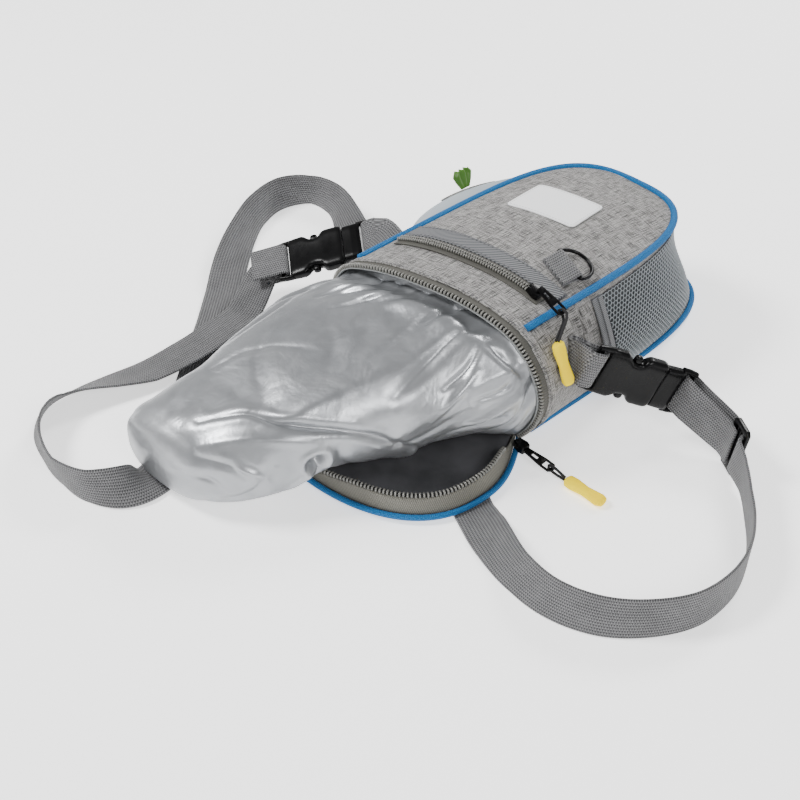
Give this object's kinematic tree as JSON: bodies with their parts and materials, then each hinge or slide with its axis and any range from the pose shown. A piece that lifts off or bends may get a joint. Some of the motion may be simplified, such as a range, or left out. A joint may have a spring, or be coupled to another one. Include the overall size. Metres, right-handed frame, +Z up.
{
  "type": "dog treat pouch",
  "caption": "Soft zip pouch lying on its back with its lid open, its foil liner pulled out and its buckled webbing strap spread round it.",
  "frame": {"origin": "point on the outer flat face of the back panel, on the middle line, 100 mm from the mouth edge", "axes": "+X across the pouch toward the mesh pocket, +Y along the pouch from the mouth to the round end, +Z up out of the back panel toward the front panel"},
  "size_m": [0.4764, 0.4373, 0.0972],
  "materials": {
    "heather_cloth": "grey heather linen-like polyester with dark slubs",
    "blue_piping": "bright mid-blue woven piping",
    "zip_tape": "taupe zip tape and band",
    "zip_teeth": "grey-black nylon coil",
    "liner_foil": "satin silver film, crumpled",
    "dark_lining": "dark grey coated lining cloth with a soft shine",
    "webbing": "mid-grey ribbed polyester webbing",
    "white_label": "smooth bare white label",
    "mesh_net": "grey-blue knitted net",
    "pale_cloth": "pale blue-grey smooth cloth",
    "green_film": "thin green bag film",
    "black_plastic": "black acetal, semi-gloss",
    "black_cord": "black braided cord",
    "yellow_grip": "soft matt yellow rubber"
  },
  "bodies": {
    "pouch": {"side_gusset": "heather_cloth", "front_panel": "heather_cloth", "back_panel": "heather_cloth", "front_piping": "blue_piping", "back_piping": "blue_piping", "mouth_zip_tape": "zip_tape", "mouth_zip_teeth": "zip_teeth", "lid_panel": "heather_cloth", "lid_lining": "dark_lining", "lid_piping": "blue_piping", "lid_zip_tape": "zip_tape", "lid_zip_teeth": "zip_teeth", "liner": "liner_foil", "pocket_zip_tape": "zip_tape", "pocket_zip_teeth_near": "zip_teeth", "pocket_zip_teeth_far": "zip_teeth", "front_band": "webbing", "label_patch": "white_label", "ring_tab": "webbing", "mesh_pocket": "mesh_net", "mesh_edge": "webbing", "dispenser_pocket": "pale_cloth", "dispenser_slot": "dark_lining", "waste_bag_tip": "green_film", "buckle_female_right": "black_plastic", "buckle_male_right": "black_plastic", "buckle_female_left": "black_plastic", "buckle_male_left": "black_plastic", "side_loop_right": "webbing", "side_loop_left": "webbing", "adjuster_slide": "black_plastic", "strap_right": "webbing", "strap_left": "webbing", "pocket_pull_slider": "black_plastic", "pocket_pull_tab": "black_plastic", "pocket_pull_cord": "black_cord", "pocket_pull_grip": "yellow_grip", "mouth_pull_slider": "black_plastic", "mouth_pull_tab": "black_plastic", "mouth_pull_cord": "black_cord", "mouth_pull_grip": "yellow_grip"},
    "ring": {"d_ring": "black_plastic"}
  },
  "joints": [
    {"name": "ring_swing", "type": "hinge", "parent": "pouch", "child": "ring", "pos_m": [0.04355, -0.04155, 0.08957], "axis": [0.9391, -0.1914, -0.2854], "range_deg": [0, 155]}
  ]
}
